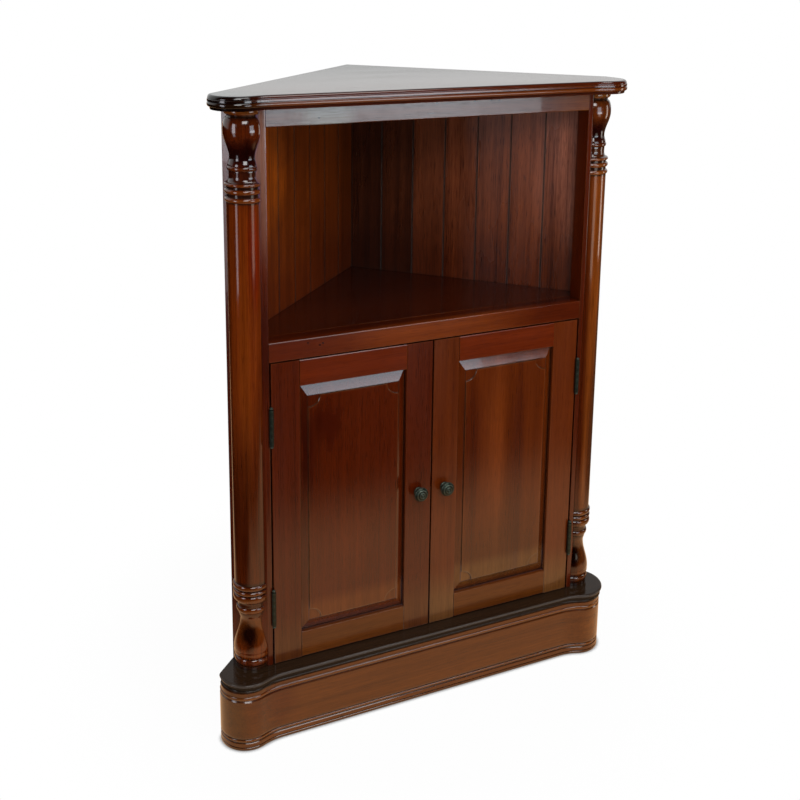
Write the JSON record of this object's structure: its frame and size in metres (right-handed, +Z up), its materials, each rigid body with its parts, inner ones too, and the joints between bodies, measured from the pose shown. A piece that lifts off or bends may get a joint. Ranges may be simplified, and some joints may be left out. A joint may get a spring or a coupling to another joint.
{
  "type": "corner cabinet",
  "caption": "Mahogany corner cabinet with turned half columns, an open shelf under a serpentine top and a cupboard with raised-panel doors on a moulded plinth",
  "frame": {"origin": "the bottom centre of the bounding box, on the floor", "axes": "+Z up, +X to the right seen from the front, -Y out of the doors towards the viewer"},
  "size_m": [0.7717, 0.446, 1.118],
  "materials": {
    "frame_wood": "glossy red-brown stained mahogany",
    "top_wood": "polished red-brown mahogany",
    "cap_wood": "polished near-black stained wood",
    "skirt_wood": "satin warm-brown stained wood",
    "golden_planks": "lacquered golden-brown boards",
    "dark_planks": "lacquered purple-brown boards",
    "cleat_wood": "plain sawn softwood",
    "hardware": "dark antiqued bronze",
    "steel": "bright plated steel",
    "catch_body": "dark brown matte plastic"
  },
  "bodies": {
    "cabinet": {"top_rail": "frame_wood", "shelf_board": "frame_wood", "shelf_edge": "frame_wood", "left_post": "frame_wood", "right_post": "frame_wood", "left_column": "frame_wood", "right_column": "frame_wood", "top_board": "top_wood", "floor_board": "cap_wood", "plinth_front": "skirt_wood", "plinth_left": "skirt_wood", "plinth_right": "skirt_wood", "left_plank_1": "golden_planks", "right_plank_1": "dark_planks", "left_plank_2": "golden_planks", "right_plank_2": "dark_planks", "left_plank_3": "golden_planks", "right_plank_3": "dark_planks", "left_plank_4": "golden_planks", "right_plank_4": "dark_planks", "left_plank_5": "golden_planks", "right_plank_5": "dark_planks", "left_plank_6": "golden_planks", "right_plank_6": "dark_planks", "left_plank_7": "golden_planks", "right_plank_7": "dark_planks", "shelf_cleat_left": "cleat_wood", "shelf_cleat_right": "cleat_wood", "top_cleat_left": "cleat_wood", "top_cleat_right": "cleat_wood", "magnetic_catch": "catch_body", "left_door_upper_hinge_frame_leaf": "hardware", "left_door_upper_hinge_pin": "hardware", "left_door_lower_hinge_frame_leaf": "hardware", "left_door_lower_hinge_pin": "hardware", "right_door_upper_hinge_frame_leaf": "hardware", "right_door_upper_hinge_pin": "hardware", "right_door_lower_hinge_frame_leaf": "hardware", "right_door_lower_hinge_pin": "hardware"},
    "left_door": {"left_door_hinge_stile": "frame_wood", "left_door_meeting_stile": "frame_wood", "left_door_top_rail": "frame_wood", "left_door_bottom_rail": "frame_wood", "left_door_panel": "frame_wood", "left_door_knob": "hardware", "left_door_knob_screw": "steel", "left_door_strike": "steel", "left_door_upper_hinge_door_leaf": "hardware", "left_door_lower_hinge_door_leaf": "hardware"},
    "right_door": {"right_door_hinge_stile": "frame_wood", "right_door_meeting_stile": "frame_wood", "right_door_top_rail": "frame_wood", "right_door_bottom_rail": "frame_wood", "right_door_panel": "frame_wood", "right_door_knob": "hardware", "right_door_knob_screw": "steel", "right_door_strike": "steel", "right_door_upper_hinge_door_leaf": "hardware", "right_door_lower_hinge_door_leaf": "hardware"}
  },
  "joints": [
    {"name": "left_door_hinge", "type": "hinge", "parent": "cabinet", "child": "left_door", "pos_m": [-0.2921, -0.18755, 0.39925], "axis": [0, 0, -1], "range_deg": [0, 170]},
    {"name": "right_door_hinge", "type": "hinge", "parent": "cabinet", "child": "right_door", "pos_m": [0.3051, -0.18755, 0.39925], "axis": [0, 0, 1], "range_deg": [0, 170]}
  ]
}
